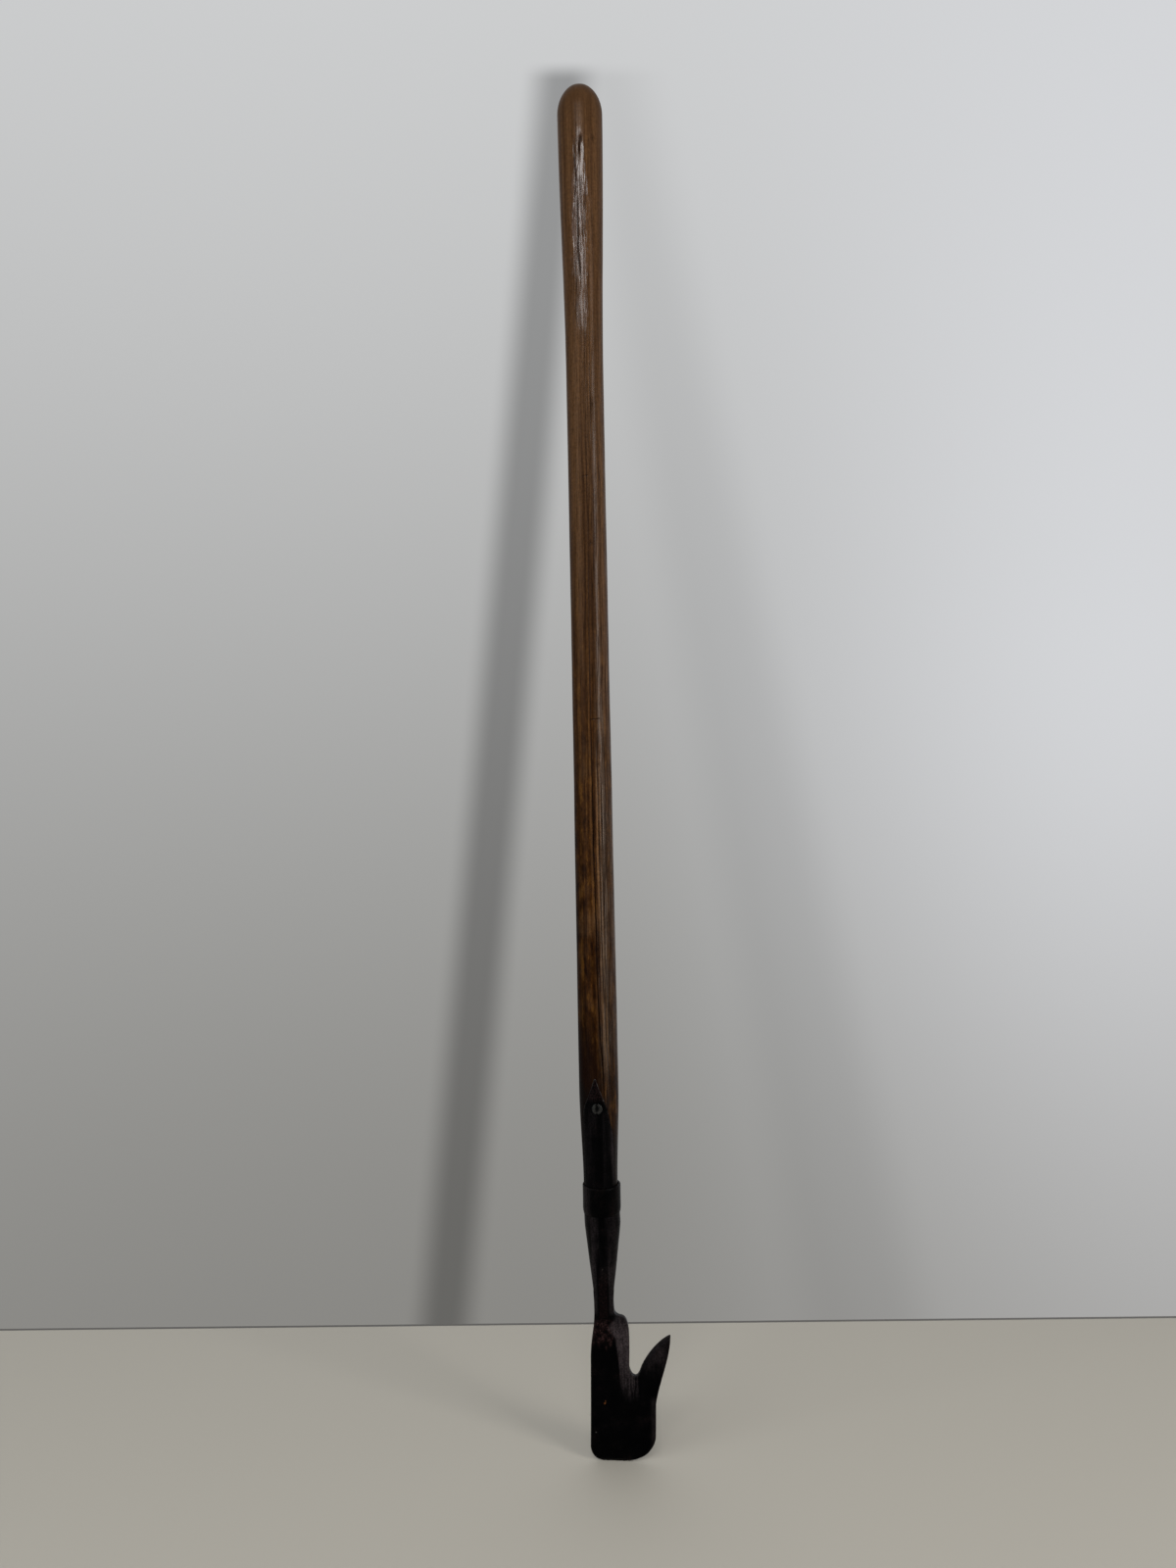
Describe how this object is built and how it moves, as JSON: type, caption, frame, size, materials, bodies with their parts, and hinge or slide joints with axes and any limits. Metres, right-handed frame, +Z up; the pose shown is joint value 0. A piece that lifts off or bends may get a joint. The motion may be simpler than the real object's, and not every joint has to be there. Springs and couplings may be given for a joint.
{
  "type": "weeding spud",
  "caption": "Long handled weeding spud: turned ash shaft with a domed knob, forged iron socket with screwed langets, flat pushing blade and a thistle hook beside it.",
  "frame": {"origin": "on the axis of the shaft, level with the lowest point of the cutting edge", "axes": "+Z up along the shaft, +X from the shaft towards the hook, -Y the front face with the upper screw"},
  "size_m": [0.0779, 0.0392, 1.2],
  "materials": {
    "oiled_ash": "old ash darkened by oil and hands, open grain, drying checks, satin",
    "forged_iron": "hand forged wrought iron, black scale with thin brown rust, dull sheen",
    "collar_iron": "forged iron ring, black with brown rust at its rims, dull",
    "screw_steel": "plain steel screws, dark grey, worn a little brighter on the heads"
  },
  "bodies": {
    "root": {"shaft": "oiled_ash", "socket": "forged_iron", "collar": "collar_iron", "neck": "forged_iron", "blade": "forged_iron", "front_screw": "screw_steel", "back_screw": "screw_steel"}
  },
  "joints": []
}
